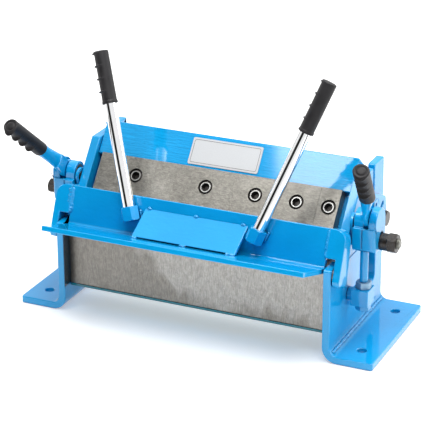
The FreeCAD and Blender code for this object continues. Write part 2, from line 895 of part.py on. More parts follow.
def pivot_washer():
    start = beam_arm_out + seat_gap
    ring = bar_x(start, start + pivot_washer_t, pivot_y, pivot_z, pivot_washer_d)
    return ring.cut(bar_x(start, start + pivot_washer_t, pivot_y, pivot_z,
                          pivot_shoulder_d + screw_gap))


def guide_stud(length_outside):
    """Threaded stud of the beam that slides in the yoke's upright slot."""
    end = yoke_out + seat_gap + length_outside
    stud = bar_x(panel_half + 1.0, end, stud_y, stud_z, stud_d)
    rims = [e for e in stud.Edges if isinstance(e.Curve, Part.Circle)]
    rims.sort(key=lambda e: e.CenterOfMass.x)
    return stud.makeChamfer(stud_chamfer, [rims[-1]])


def guide_studs():
    right = right_collar_length + right_nut_t + right_stud_end
    left = left_collar_length + left_nut_t + left_stud_end
    return Part.makeCompound([guide_stud(right), mirrored(guide_stud(left))])


def spacer_collar(length):
    start = yoke_out + seat_gap
    ring = bar_x(start, start + length, stud_y, stud_z, collar_d)
    return ring.cut(bar_x(start, start + length, stud_y, stud_z, stud_d + screw_gap))


def spacer_collars():
    left = mirrored(spacer_collar(left_collar_length))
    return Part.makeCompound([spacer_collar(right_collar_length), left])


def guide_nut(collar_length, flats, thickness):
    start = yoke_out + seat_gap + collar_length
    return nut(Vector(start, stud_y, stud_z), Vector(start + thickness, stud_y, stud_z),
               flats, stud_d + screw_gap)


def guide_nuts():
    right = guide_nut(right_collar_length, right_nut_flats, right_nut_t)
    left = guide_nut(left_collar_length, left_nut_flats, left_nut_t)
    return Part.makeCompound([right, mirrored(left)])


# Yokes, draw rods and lower blocks

def yoke():
    """Right yoke: two cheeks round the lever's hub on a block with a fork below."""
    front = lever_y - yoke_front
    rear = lever_y + yoke_outer_r
    web_top = lever_z - yoke_web_drop
    block = box(yoke_in, yoke_out, front, rear, yoke_low, web_top)
    front_edges = [e for e in block.Edges if is_yoke_front_edge(e)]
    body = block.makeFillet(yoke_edge_r, front_edges)
    cheeks = []
    for x0, x1, radius in ((yoke_in, slot_in, yoke_inner_r), (slot_out, yoke_out, yoke_outer_r)):
        cheeks.append(box(x0, x1, lever_y - radius, lever_y + radius, web_top, lever_z))
        cheeks.append(bar_x(x0, x1, lever_y, lever_z, 2 * radius))
    body = body.fuse(cheeks).removeSplitter()
    room_r = hub_r + yoke_room
    hub_room = bar_x(slot_in, slot_out, lever_y, lever_z, 2 * room_r)
    rear_room = box(slot_in, slot_out, lever_y, rear + 1, lever_z - room_r, lever_z)
    inner_bore = bar_x(yoke_in, slot_in, lever_y, lever_z, shaft_d + 2 * running_gap)
    nose_bore = bar_x(slot_out, yoke_out - yoke_skin, lever_y, lever_z,
                      shaft_nose_d + 2 * running_gap)
    foot = Vector(rod_x, rod_y, yoke_low)
    rod_hole = bar(foot, foot + Z_AXIS * (rod_bite + 1), rod_d + screw_gap)
    seam = box(slot_in - yoke_seam, slot_in, front, front + yoke_seam, yoke_low, web_top)
    lift = stud_lift()
    fork = long_slot(Vector(yoke_in, stud_y + lift.y / 2, yoke_low - stud_d),
                     Vector(yoke_in, stud_y + lift.y / 2, stud_z + lift.z),
                     stud_d + 2 * stud_play, yoke_out - yoke_in)
    return body.cut([hub_room, rear_room, inner_bore, nose_bore, rod_hole, seam, fork])


def is_yoke_front_edge(edge):
    """The block's lower front edge and its upright front edge at the outer side."""
    middle = edge.CenterOfMass
    at_front = abs(middle.y - (lever_y - yoke_front)) < 1e-6
    return at_front and (abs(middle.z - yoke_low) < 1e-6 or abs(middle.x - yoke_out) < 1e-6)


def stud_lift():
    """How far the guide stud moves when the beam is fully open."""
    clamped = Vector(0, stud_y, stud_z)
    return turned_open(clamped, 1.0) - clamped


def draw_rod():
    """Bolt that holds the yoke down: head under the lower block, thread in the yoke."""
    head_top = Vector(rod_x, rod_y, block_low)
    head = hex_bar(head_top - Z_AXIS * rod_head_t, head_top, rod_head_flats, rod_flats_turn)
    shank = bar(head_top, Vector(rod_x, rod_y, yoke_low + rod_bite), rod_d)
    return head.fuse(shank).removeSplitter()


def rod_lock_nut():
    foot = Vector(rod_x, rod_y, block_low + block_height)
    return nut(foot, foot + Z_AXIS * rod_nut_t, rod_head_flats, rod_d + screw_gap,
               rod_flats_turn)


def lower_block():
    """Block that stands off the side frame on a shouldered neck."""
    x0 = frame_outer + block_standoff
    z_mid = block_low + block_height / 2
    body = box(x0, x0 + block_width, rod_y - block_depth / 2, rod_y + block_depth / 2,
               block_low, block_low + block_height)
    upright = [e for e in body.Edges if abs(e.BoundBox.ZLength - block_height) < 1e-6]
    body = body.makeFillet(1.0, upright)
    neck = bar_x(frame_outer, x0, rod_y, z_mid, block_neck_d)
    tenon = bar_x(frame_inner, frame_outer, rod_y, z_mid, block_tenon_d)
    foot = Vector(rod_x, rod_y, block_low)
    hole = bar(foot, foot + Z_AXIS * block_height, rod_d + 2 * screw_gap)
    return body.fuse([neck, tenon]).removeSplitter().cut(hole)


# Levers

def lever_way(lean):
    """Direction of a lever that leans forward by this angle, in radians."""
    return Vector(0, -math.sin(lean), math.cos(lean))


def arm_point(way, reach, crank_share):
    """Point on the arm's middle line, out from the hub by this reach."""
    return Vector(hub_mid + crank_share * lever_crank, lever_y, lever_z) + way * reach


def lever_section(centre, along, half_x, half_side):
    """Oval section square to the lever's arm, as a closed smooth curve."""
    side = X_AXIS.cross(along).normalize()
    across = along.cross(side)
    points = []
    for i in range(12):
        angle = 2 * math.pi * i / 12
        out = across * (half_x * math.cos(angle))
        points.append(centre + out + side * (half_side * math.sin(angle)))
    curve = Part.BSplineCurve()
    curve.interpolate(points, PeriodicFlag=True)
    return Part.Wire(curve.toShape())


def lever_grip_axis(way):
    """Base of the lever's grip and its direction, cranked outward."""
    base = arm_point(way, lever_arm_length, 1.0)
    along = way * lever_grip_length + X_AXIS * lever_grip_crank
    return base, along.normalize()


def clamp_lever(lean):
    """Lever: flat hub and blade between the cheeks, cranked round arm, grip stem."""
    way = lever_way(lean)
    side = X_AXIS.cross(way)
    half_hub = hub_t / 2
    neck_r = lever_neck_d / 2
    hub = bar_x(hub_mid - half_hub, hub_mid + half_hub, lever_y, lever_z, 2 * hub_r)
    centre = Vector(hub_mid - half_hub, lever_y, lever_z)
    tip = centre + way * blade_reach
    corners = [centre + side * blade_ahead, tip + side * blade_half,
               tip - side * blade_half, centre - side * blade_behind]
    blade = Part.Face(Part.makePolygon(corners + corners[:1])).extrude(X_AXIS * hub_t)
    base, along = lever_grip_axis(way)
    start = hub_r + 5
    run = lever_arm_length - start
    sections = [
        lever_section(arm_point(way, start, 0.0), way, half_hub - 0.3, arm_root_half),
        lever_section(arm_point(way, start + 0.3 * run, 0.25), way, neck_r * 0.6,
                      (arm_root_half + neck_r) / 2),
        lever_section(arm_point(way, start + 0.65 * run, 0.62), way, neck_r * 0.85, neck_r),
        lever_section(base, along, neck_r, neck_r)]
    arm = Part.makeLoft(sections, True, False)
    stem = bar(base - along * 4, base + along * lever_stem_length, lever_stem_d)
    lever = hub.fuse([blade, arm, stem]).removeSplitter()
    bore = bar_x(hub_mid - half_hub, hub_mid + half_hub, lever_y, lever_z, shaft_d)
    low, high = hub_screw_ends(lean)
    return lever.cut([bore, bar(low, high, hub_screw_d + screw_gap)])


def hub_screw_ends(lean):
    """Ends of the hole for the grub screw in the hub's rim, biting on the shaft."""
    centre = Vector(hub_mid, lever_y, lever_z)
    turned = lever_way(lean - math.radians(hub_screw_turn))
    return centre + turned * (shaft_d / 2 - 1), centre + turned * (hub_r + 1)


def hub_screw(lean):
    start, end = hub_screw_ends(lean)
    along = (end - start).normalize()
    return bar(start, start + along * hub_screw_length, hub_screw_d)


def eccentric_shaft(lean):
    """Shaft of a lever, with its eccentric stub in the beam's lift strap."""
    centre = stub_centre(0.0)
    stub = bar_x(end_plate_outer + 2 * seat_gap, yoke_in, centre.y, centre.z, stub_d)
    main = bar_x(yoke_in, slot_out, lever_y, lever_z, shaft_d)
    nose = bar_x(slot_out, yoke_out - yoke_skin - 0.5, lever_y, lever_z, shaft_nose_d)
    start, end = hub_screw_ends(lean)
    return main.fuse([stub, nose]).removeSplitter().cut(bar(start, end, hub_screw_d + screw_gap))


def lever_grip(lean):
    base, along = lever_grip_axis(lever_way(lean))
    return grip(base, along, lever_grip_d, lever_grip_length,
                lever_stem_d + screw_gap, lever_stem_length + seat_gap)


def pair(shape):
    """The same piece on the right and, mirrored, on the left."""
    return Part.makeCompound([shape, mirrored(shape)])


def save(name, shape):
    for solid in shape.Solids:
        if not solid.isValid():
            print("not valid:", name)
    shape.exportStep("parts/" + name + ".step")
    print(name, len(shape.Solids), round(shape.Volume / 1000, 2), "cm3")


def save_both(name, shape):
    save(name + "_right", shape)
    save(name + "_left", mirrored(shape))


lever_pieces = (
    ("clamp_lever", clamp_lever),
    ("eccentric_shaft", eccentric_shaft),
    ("hub_screw", hub_screw),
    ("lever_grip", lever_grip))


def main():
    os.makedirs("parts", exist_ok=True)
    save_both("side_frame", side_frame())
    save("bed", bed_block())
    save("bed_tie_plate", bed_tie_plate())
    save("bed_screws", bed_screws())
    save("rear_tie_bar", rear_tie_bar())
    save("apron_leaf", apron_leaf())
    save("apron_gusset", apron_gusset())
    save_both("apron_arm", apron_arm())
    save_both("hinge_pin", hinge_pin())
    save("hinge_bushes", pair(hinge_bush()))
    save_both("handle_socket", handle_socket())
    save_both("handle_rod", handle_rod())
    save_both("handle_grip", handle_grip())
    for index in range(len(finger_widths)):
        save("finger_" + str(index + 1), finger(index))
    save("finger_screws", finger_screws())
    save("beam_panel", beam_panel())
    save("label_plate", label_plate())
    save_both("beam_end_plate", end_plate())
    save_both("beam_arm", beam_arm())
    save("beam_arm_screws", arm_screws())
    save("beam_rear_plate", beam_rear_plate())
    save("pivot_bolts", pair(pivot_bolt()))
    save("pivot_washers", pair(pivot_washer()))
    save_both("lift_strap", lift_strap())
    save("guide_studs", guide_studs())
    save("spacer_collars", spacer_collars())
    save("guide_nuts", guide_nuts())
    save_both("yoke", yoke())
    save_both("draw_rod", draw_rod())
    save("rod_lock_nuts", pair(rod_lock_nut()))
    save_both("lower_block", lower_block())
    right_lean = math.radians(right_lever_lean)
    left_lean = math.radians(left_lever_lean)
    for name, make in lever_pieces:
        save(name + "_right", make(right_lean))
        save(name + "_left", mirrored(make(left_lean)))
    print("beam opens by", round(beam_open, 3), "degrees over", lever_swing, "of the lever")


main()
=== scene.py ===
# %% [markdown]
# Box and pan brake: looks
#
# The shapes of this brake come from its CAD model, which is packed as a fixed
# frame of named pieces. This file dresses that frame: it gives every piece its
# finish, rounds the sharp edges, adds what a CAD model leaves out, such as weld
# beads and the moulded rubber grips, and lights it as in the photograph.
# All lengths here are metres, in the same frame as the CAD model: +X along the
# bed to the right, +Y to the back, +Z up, with the bench at zero.

import json
import math

import bpy
from mathutils import Matrix, Vector, noise


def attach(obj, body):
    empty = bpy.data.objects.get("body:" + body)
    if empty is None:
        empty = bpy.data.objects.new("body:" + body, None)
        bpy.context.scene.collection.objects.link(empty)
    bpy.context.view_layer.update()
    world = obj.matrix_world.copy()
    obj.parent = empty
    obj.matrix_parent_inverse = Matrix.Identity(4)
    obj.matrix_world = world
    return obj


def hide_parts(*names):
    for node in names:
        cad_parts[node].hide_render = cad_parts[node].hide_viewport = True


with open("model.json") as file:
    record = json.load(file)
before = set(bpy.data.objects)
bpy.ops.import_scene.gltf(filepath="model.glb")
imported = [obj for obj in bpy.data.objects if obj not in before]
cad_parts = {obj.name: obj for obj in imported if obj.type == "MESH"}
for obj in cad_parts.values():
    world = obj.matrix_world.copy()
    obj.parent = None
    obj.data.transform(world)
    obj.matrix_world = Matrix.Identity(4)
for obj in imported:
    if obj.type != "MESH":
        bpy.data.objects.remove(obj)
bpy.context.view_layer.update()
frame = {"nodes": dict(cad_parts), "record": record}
nodes = frame["nodes"]
slot_of = {part["node"]: part["material_slot"] for part in frame["record"]["subparts"]}

# %% [markdown]
# Camera
#
# The photograph was taken from the right of the front and from above, with a
# long lens, so the far side is nearly as large as the near one. Yaw, pitch and
# lens were fitted to straight edges and bolt holes. A camera in Blender looks
# along its own -Z, so its three axes are set as the columns of a matrix. The
# picture was cropped off centre, which a small shift of the lens repeats.

# %% Camera at the photograph's viewing angle
PHOTO_SIDE = 440  # pixels, as are the next three
LENS_PIXELS = 1873.4
CENTRE_X, CENTRE_Y = 218.14, 186.98
YAW, PITCH, ROLL = math.radians(24.509), math.radians(-21.544), math.radians(-0.187)
CAMERA_PLACE = (0.8401, -1.8478, 0.9555)
SENSOR_WIDTH = 36  # millimetres
FAR_CLIP = 50

forward = Vector((-math.sin(YAW) * math.cos(PITCH),
                  math.cos(YAW) * math.cos(PITCH),
                  math.sin(PITCH)))
level_right = Vector((math.cos(YAW), math.sin(YAW), 0))
level_up = level_right.cross(forward)
right = math.cos(ROLL) * level_right + math.sin(ROLL) * level_up
up = math.cos(ROLL) * level_up - math.sin(ROLL) * level_right

camera_data = bpy.data.cameras.new("photo_camera")
camera_data.sensor_width = SENSOR_WIDTH
camera_data.lens = LENS_PIXELS * SENSOR_WIDTH / PHOTO_SIDE
camera_data.shift_x = 0.5 - CENTRE_X / PHOTO_SIDE
camera_data.shift_y = CENTRE_Y / PHOTO_SIDE - 0.5
camera_data.clip_end = FAR_CLIP
camera = bpy.data.objects.new("photo_camera", camera_data)
camera_axes = Matrix((right, up, -forward)).transposed().to_4x4()
camera.matrix_world = Matrix.Translation(CAMERA_PLACE) @ camera_axes
bpy.context.scene.collection.objects.link(camera)
bpy.context.scene.camera = camera
print("lens", round(camera_data.lens, 1), "mm")

# %% [markdown]
# Finishes
#
# Each finish is a tree of nodes that ends in one Principled shader. All of them
# need the same few steps: a point on the piece, a grain at that point, and a
# ramp that turns the grain into a colour, a roughness or a height. These steps
# are written once, as small helpers. The grain is taken in object coordinates,
# which are metres here, so it has its real size on every piece.

# %% Helpers for finishes
finishes = {}


def new_finish(name):
    """An empty finish: its node tree and its shader."""
    material = bpy.data.materials.new(name)
    material.use_nodes = True
    tree = material.node_tree
    tree.nodes.clear()
    shader = tree.nodes.new("ShaderNodeBsdfPrincipled")
    out = tree.nodes.new("ShaderNodeOutputMaterial")
    tree.links.new(shader.outputs["BSDF"], out.inputs["Surface"])
    finishes[name] = material
    return tree, shader


def grain(tree, size, stretch=(1, 1, 1), detail=3.0, bend=0.0):
    """Noise whose features are about size metres; stretch lengthens them along X, Y or Z."""
    place = tree.nodes.new("ShaderNodeTexCoord").outputs["Object"]
    mapping = tree.nodes.new("ShaderNodeMapping")
    mapping.inputs["Scale"].default_value = [1 / (size * s) for s in stretch]
    speckle = tree.nodes.new("ShaderNodeTexNoise")
    speckle.inputs["Scale"].default_value = 1.0
    speckle.inputs["Detail"].default_value = detail
    speckle.inputs["Distortion"].default_value = bend
    tree.links.new(place, mapping.inputs["Vector"])
    tree.links.new(mapping.outputs["Vector"], speckle.inputs["Vector"])
    return speckle.outputs["Fac"]


def four_channels(tone):
    """A colour, or a grey given as one number, with full alpha."""
    return [*tone, 1] if hasattr(tone, "__len__") else [tone] * 3 + [1]


def ramp(tree, value, low, high, first, last):
    """Colour or grey that goes from first to last as value goes from low to high."""
    node = tree.nodes.new("ShaderNodeValToRGB")
    stops = node.color_ramp.elements
    stops[0].position, stops[1].position = low, high
    stops[0].color = four_channels(first)
    stops[1].color = four_channels(last)
    tree.links.new(value, node.inputs["Fac"])
    return node.outputs["Color"]


def blend(tree, kind, one, two):
    """Two colours joined in full by this kind of mix."""
    node = tree.nodes.new("ShaderNodeMix")
    node.data_type = "RGBA"
    node.blend_type = kind
    node.inputs["Factor"].default_value = 1.0
    tree.links.new(one, node.inputs["A"])
    tree.links.new(two, node.inputs["B"])
    return node.outputs["Result"]


def along_axis(tree, axis, low, high):
    """Nought at one place along X, Y or Z and one at another, in metres."""
    parts = tree.nodes.new("ShaderNodeSeparateXYZ")
    tree.links.new(tree.nodes.new("ShaderNodeTexCoord").outputs["Object"], parts.inputs[0])
    span = tree.nodes.new("ShaderNodeMapRange")
    span.inputs["From Min"].default_value = low
    span.inputs["From Max"].default_value = high
    tree.links.new(parts.outputs[axis], span.inputs["Value"])
    return span.outputs["Result"]


def mean_of(tree, *values):
    """Mean of several outputs: they are added up, then divided by their number."""
    total = values[0]
    for value in values[1:]:
        add = tree.nodes.new("ShaderNodeMath")
        tree.links.new(total, add.inputs[0])
        tree.links.new(value, add.inputs[1])
        total = add.outputs[0]
    share = tree.nodes.new("ShaderNodeMath")
    share.operation = "MULTIPLY"
    share.inputs[1].default_value = 1 / len(values)
    tree.links.new(total, share.inputs[0])
    return share.outputs[0]


def raise_by(tree, shader, *layers):
    """Bumps: each layer is (height output, depth in metres)."""
    normal = None
    for height, depth in layers:
        bump = tree.nodes.new("ShaderNodeBump")
        bump.inputs["Distance"].default_value = depth
        tree.links.new(height, bump.inputs["Height"])
        if normal:
            tree.links.new(normal, bump.inputs["Normal"])
        normal = bump.outputs["Normal"]
    tree.links.new(normal, shader.inputs["Normal"])


def settle(shader, **values):
    """Constant values, set on the shader's own sockets."""
    for name, value in values.items():
        shader.inputs[name.replace("_", " ")].default_value = value


# %% [markdown]
# Blue enamel
#
# The body is sprayed with a thick, glossy azure enamel. Sprayed enamel is never
# quite flat: it has the soft dimples called orange peel, a few millimetres wide,
# which break up reflections, and a little variation in depth of colour. A clear
# coat over a slightly rough base gives the wet look with a soft edge. Inside
# corners are drawn darker, which is painted shade. Long shallow sags run along
# the plates. They are deepest on the beam's panel, where they break the highlight
# into streaks, so the panel has its own variant. The left side frame has one too,
# with painted shade on its inner face in front of the bed, and the tie plate under
# the bed has one that is darker all over.

# %% Blue enamel
DEEP_BLUE, LIGHT_BLUE = (0.0, 0.283, 0.605), (0.001, 0.314, 0.668)
# Painted shade: the tone that inside corners are darkened to.
CORNER_SHADE_TONE = (0.12, 0.22, 0.38)
# Painted shade: the tone of the left side frame's inner face in front of the bed.
SHADED_FACE_TONE = (0.12, 0.07, 0.06)
CORNER_REACH = 0.005
PEEL_DEPTH, SAG_DEPTH, SPECK_DEPTH = 0.00022, 0.00005, 0.000012
# The painted shade lies on the frame's inner face, in front of the bed and above the foot.
# Each pair says where it begins to fade and where it has.
SHADED_FACE_X, SHADED_FACE_Y, SHADED_FACE_Z = (-0.1642, -0.1632), (-0.0700, -0.0600), (0.0335, 0.0300)


def inner_face_shade(tree):
    """White where the paint is left as it is, and the tone of the painted shade on the inner face
    where it isn't.
    """
    painted_shade = ramp(tree, along_axis(tree, "X", *SHADED_FACE_X), 0.0, 1.0, 1.0, SHADED_FACE_TONE)
    for axis, edge in (("Y", SHADED_FACE_Y), ("Z", SHADED_FACE_Z)):
        outside = ramp(tree, along_axis(tree, axis, *edge), 0.0, 1.0, 0.0, 1.0)
        painted_shade = blend(tree, "LIGHTEN", painted_shade, outside)
    return painted_shade


def enamel(name, peel_depth=PEEL_DEPTH, sag_depth=SAG_DEPTH, shaded_inner_face=False, overall_tone=None):
    """Blue paint. The last argument is a tone that darkens it all over."""
    tree, shader = new_finish(name)
    cloud = grain(tree, 0.05, detail=2)
    peel = grain(tree, 0.0045, (1.5, 1, 1), detail=1.5)
    speck = grain(tree, 0.0009, detail=2)
    sag = grain(tree, 0.0024, (8, 1, 1), detail=3, bend=0.5)
    tint = ramp(tree, cloud, 0.3, 0.7, DEEP_BLUE, LIGHT_BLUE)
    fleck = ramp(tree, speck, 0.35, 0.7, 0.93, 1.0)
    # Painted shade: inside corners are darkened by ambient occlusion.
    corners = tree.nodes.new("ShaderNodeAmbientOcclusion")
    corners.inputs["Distance"].default_value = CORNER_REACH
    corners.samples = 6
    corner_shade = ramp(tree, corners.outputs["AO"], 0.25, 0.75, CORNER_SHADE_TONE, 1.0)
    paint = blend(tree, "MULTIPLY", tint, fleck)
    if overall_tone:
        paint = blend(tree, "MULTIPLY", paint, ramp(tree, speck, 0.0, 1.0, overall_tone, overall_tone))
    # Painted shade on the left side frame's inner face, in front of the bed.
    if shaded_inner_face:
        paint = blend(tree, "MULTIPLY", paint, inner_face_shade(tree))
    tree.links.new(blend(tree, "MULTIPLY", paint, corner_shade), shader.inputs["Base Color"])
    tree.links.new(ramp(tree, cloud, 0.3, 0.7, 0.38, 0.46), shader.inputs["Roughness"])
    raise_by(tree, shader, (peel, peel_depth), (sag, sag_depth), (speck, SPECK_DEPTH))
    settle(shader, Coat_Weight=1.0, Coat_Roughness=0.07, Coat_IOR=1.56, Specular_IOR_Level=0.03)


enamel("blue_enamel")
enamel("streaked_enamel", peel_depth=0.0002, sag_depth=0.0011)
enamel("shaded_face_enamel", shaded_inner_face=True)
enamel("darkened_enamel", overall_tone=(1, 0.5, 0.3))
print("finishes:", list(finishes))

# %% [markdown]
# Ground steel
#
# The bed and the fingers are bare steel, surface ground. On the bed's front the
# wheel has left upright strokes that waver a little; on the fingers the grain is
# finer and runs along them. Both are the same recipe with the grain stretched
# another way: a broad stain, two stretched grains for the strokes, blots and a
# fine grain for the bite of the wheel. The broad stain is partly painted light:
# the bed's front is drawn darker on its left quarter and along a band at its lower
# edge, and the fingers a little darker towards the right. The bed's left end is
# darkened with painted shade where it meets the side frame, and the bed is drawn
# slightly darker towards its right end.

# %% Ground steel of the bed and of the fingers
def ground_steel(name, light_and_stain, edge, strokes, dark, light, roughness, wander):
    """Bare steel. The second argument says where it is light, partly as painted light and partly
    as the steel's own tone; edge says how sharply that begins.

    strokes stretches the grain along X, Y and Z, and wander bends it.
    """
    tree, shader = new_finish(name)
    stroke = grain(tree, 0.0009, strokes, detail=5, bend=1.4)
    swing = grain(tree, 0.0022, strokes, detail=4, bend=wander)
    blot = grain(tree, 0.009, detail=5, bend=1.5)
    bite = grain(tree, 0.0007, detail=2)
    tone = ramp(tree, light_and_stain(tree), *edge, dark, light)
    for layer in (ramp(tree, stroke, 0.3, 0.72, 0.8, 1.1),
                  ramp(tree, swing, 0.38, 0.62, 0.84, 1.14),
                  ramp(tree, blot, 0.38, 0.6, 0.9, 1.06),
                  ramp(tree, bite, 0.28, 0.5, 0.8, 1.0)):
        tone = blend(tree, "MULTIPLY", tone, layer)
    tree.links.new(tone, shader.inputs["Base Color"])
    tree.links.new(ramp(tree, swing, 0.3, 0.7, *roughness), shader.inputs["Roughness"])
    raise_by(tree, shader, (stroke, 0.00008), (swing, 0.0002), (bite, 0.00003))
    settle(shader, Metallic=0.85)
    return tree, shader


def bed_light_and_stain(tree):
    """Painted light and shade: dark on the left quarter of the front and a band along its lower
    edge, with a cloud of the steel's own tone.
    """
    # Painted light: the X and Z parts make the front lighter outside its left quarter and above
    # its lower band.
    return mean_of(tree, along_axis(tree, "X", -0.10, -0.02),
                   along_axis(tree, "Z", 0.016, 0.10),
                   grain(tree, 0.03, (1, 1, 2), detail=5, bend=0.8))


def finger_light_and_stain(tree):
    """A cloud of the steel's own tone, with painted shade that makes it a little darker towards
    the right.
    """
    # Painted shade: the X part darkens the fingers towards the right.
    return mean_of(tree, along_axis(tree, "X", 0.5, -0.5),
                   grain(tree, 0.03, detail=4, bend=0.5))


tree, shader = ground_steel("bed_steel", bed_light_and_stain, edge=(0.56, 0.64), strokes=(1, 1, 8),
                            dark=(0.235, 0.222, 0.2), light=(0.36, 0.349, 0.326),
                            roughness=(0.32, 0.48), wander=2.2)
plain = shader.inputs["Base Color"].links[0].from_socket
# Painted shade: the bed's left end is darkened where it meets the side frame.
GAP_SHADE = (0.16, 0.16, 0.17)
gap_shaded_end = ramp(tree, along_axis(tree, "X", -0.1630, -0.1545), 0.0, 1.0, GAP_SHADE, 1.0)
# The bed is drawn slightly darker towards its right end.
darker_right_end = ramp(tree, along_axis(tree, "X", 0.02, 0.17), 0.0, 1.0, 1.0, 0.96)
for layer in (gap_shaded_end, darker_right_end):
    plain = blend(tree, "MULTIPLY", plain, layer)
tree.links.new(plain, shader.inputs["Base Color"])
ground_steel("finger_steel", finger_light_and_stain, edge=(0.35, 0.65), strokes=(2.5, 1, 1),
             dark=(0.2, 0.19, 0.168), light=(0.29, 0.28, 0.25),
             roughness=(0.3, 0.42), wander=1.2)
print("finishes:", list(finishes)[-2:])

# %% [markdown]
# Other metals
#
# The handle rods are chromed, the nuts and screws are black oxide, and a few
# small pieces are zinc, brass or turned steel. They differ in colour, in how
# mirror-like they are and in how coarse their grain is, so one recipe makes them.
# The black oxide is drawn darker in hollows, such as the screws' sockets, which is painted shade.

# %% Plated, turned and blackened metals
def small_metal(name, dark, light, roughness, grain_size, depth, metallic=1.0):
    """A metal between two tones and two roughnesses, with a grain of this size and depth."""
    tree, shader = new_finish(name)
    cloud = grain(tree, grain_size * 8, detail=3)
    fine = grain(tree, grain_size, detail=2)
    tree.links.new(ramp(tree, cloud, 0.3, 0.7, dark, light), shader.inputs["Base Color"])
    tree.links.new(ramp(tree, fine, 0.3, 0.7, *roughness), shader.inputs["Roughness"])
    raise_by(tree, shader, (fine, depth))
    settle(shader, Metallic=metallic)
    return tree, shader


small_metal("chrome_plate", (0.82, 0.83, 0.84), (0.9, 0.9, 0.91),
            roughness=(0.04, 0.08), grain_size=0.002, depth=0.000002)
tree, shader = small_metal("black_oxide", (0.011, 0.008, 0.007), (0.034, 0.027, 0.022),
                           roughness=(0.2, 0.4), grain_size=0.0008, depth=0.00006,
                           metallic=0.3)
# Painted shade: hollows such as the screw sockets are darkened by ambient occlusion.
hollows = tree.nodes.new("ShaderNodeAmbientOcclusion")
hollows.inputs["Distance"].default_value = 0.004
hollows.samples = 6
plain = shader.inputs["Base Color"].links[0].from_socket
socket_shade = ramp(tree, hollows.outputs["AO"], 0.3, 0.85, 0.15, 1.0)
tree.links.new(blend(tree, "MULTIPLY", plain, socket_shade), shader.inputs["Base Color"])
small_metal("zinc_plate", (0.16, 0.27, 0.38), (0.24, 0.38, 0.5),
            roughness=(0.4, 0.55), grain_size=0.001, depth=0.00004, metallic=0.7)
small_metal("turned_steel", (0.12, 0.12, 0.105), (0.24, 0.24, 0.22),
            roughness=(0.28, 0.45), grain_size=0.0008, depth=0.00005)
small_metal("bearing_brass", (0.45, 0.3, 0.11), (0.62, 0.43, 0.17),
            roughness=(0.25, 0.4), grain_size=0.0008, depth=0.00002)
small_metal("bright_face", (0.36, 0.36, 0.35), (0.5, 0.5, 0.48),
            roughness=(0.3, 0.4), grain_size=0.0007, depth=0.00002)
print("finishes:", len(finishes))

# %% [markdown]
# Grip rubber
#
# The grips are moulded in black rubber, matt and faintly pebbled by the mould.
# Hands have polished it in places, so its roughness drifts over a centimetre or
# so. It is darker and less mirror-like than plastic, which a low specular level
# gives.

# %% Grip rubber
tree, shader = new_finish("grip_rubber")
pebble = grain(tree, 0.0011, detail=4)
handled = grain(tree, 0.012, detail=3)
black = ramp(tree, handled, 0.3, 0.7, (0.0055, 0.005, 0.006), (0.012, 0.011, 0.0125))
tree.links.new(black, shader.inputs["Base Color"])
tree.links.new(ramp(tree, handled, 0.3, 0.7, 0.42, 0.58), shader.inputs["Roughness"])
raise_by(tree, shader, (pebble, 0.00014))
settle(shader, Specular_IOR_Level=0.3)

# %% [markdown]
# White plate and border ink
#
# The plate is a thin printed sheet under clear lacquer. Its white is a light grey
# here, because the lamps bring it up to white in the picture. Its roughness
# hardly varies, as larger changes would show as blotches on so flat a face. The
# ink is a second finish, because the border is a piece of its own.

# %% Lacquered white plate and the ink of its border
tree, shader = new_finish("plate_white")
print_grain = grain(tree, 0.0005, detail=2)
white = ramp(tree, print_grain, 0.3, 0.7, (0.45, 0.46, 0.47), (0.5, 0.51, 0.52))
tree.links.new(white, shader.inputs["Base Color"])
tree.links.new(ramp(tree, grain(tree, 0.03), 0.3, 0.7, 0.38, 0.42), shader.inputs["Roughness"])
raise_by(tree, shader, (print_grain, 0.000004))

tree, shader = new_finish("border_ink")
ink = grain(tree, 0.0004, detail=2)
black = ramp(tree, ink, 0.3, 0.7, (0.03, 0.03, 0.035), (0.07, 0.07, 0.08))
tree.links.new(black, shader.inputs["Base Color"])
tree.links.new(ramp(tree, ink, 0.3, 0.7, 0.35, 0.5), shader.inputs["Roughness"])
print("finishes:", sorted(finishes))

# %% [markdown]
# Give the frame its finishes
#
# Each CAD piece names a material slot in the record, and each slot has its usual
# finish. A few pieces have another: the bed was ground in another direction than
# the fingers, the guide studs are bare turned steel, and of three painted pieces
# one is streaked, one has painted shade on an inner face and one is darker all over.

# %% Finishes by slot
FINISH_OF_SLOT = {
    "blue_paint": "blue_enamel",
    "ground_steel": "finger_steel",
    "chrome": "chrome_plate",
    "black_rubber": "grip_rubber",
    "bearing_brass": "bearing_brass",
    "white_plate": "plate_white",
    "zinc_steel": "zinc_plate",
    "turned_steel": "turned_steel",
    "black_steel": "black_oxide"}
FINISH_OF_PIECE = {
    "bed": "bed_steel",
    "guide_studs": "turned_steel",
    "beam_panel": "streaked_enamel",
    "side_frame_left": "shaded_face_enamel",
    "bed_tie_plate": "darkened_enamel"}

for name, piece in nodes.items():
    finish = FINISH_OF_PIECE.get(name, FINISH_OF_SLOT[slot_of[name]])
    piece.data.materials.clear()
    piece.data.materials.append(finishes[finish])
print("dressed:", len(nodes))

# %% [markdown]
# Soften the edges
#
# Real edges are never sharp: cut plate is dressed with a file and paint rounds
# it further, so each edge catches a thin line of light. A Bevel modifier does
# this without touching the mesh. The CAD mesh is made of triangles whose corners
# are split along edges, so a Weld joins them first, and a planar Decimate joins
# triangles that lie in one plane, which keeps the bevel clean. Weighted Normal
# then shades the flat faces flat and the rounded edges smooth.

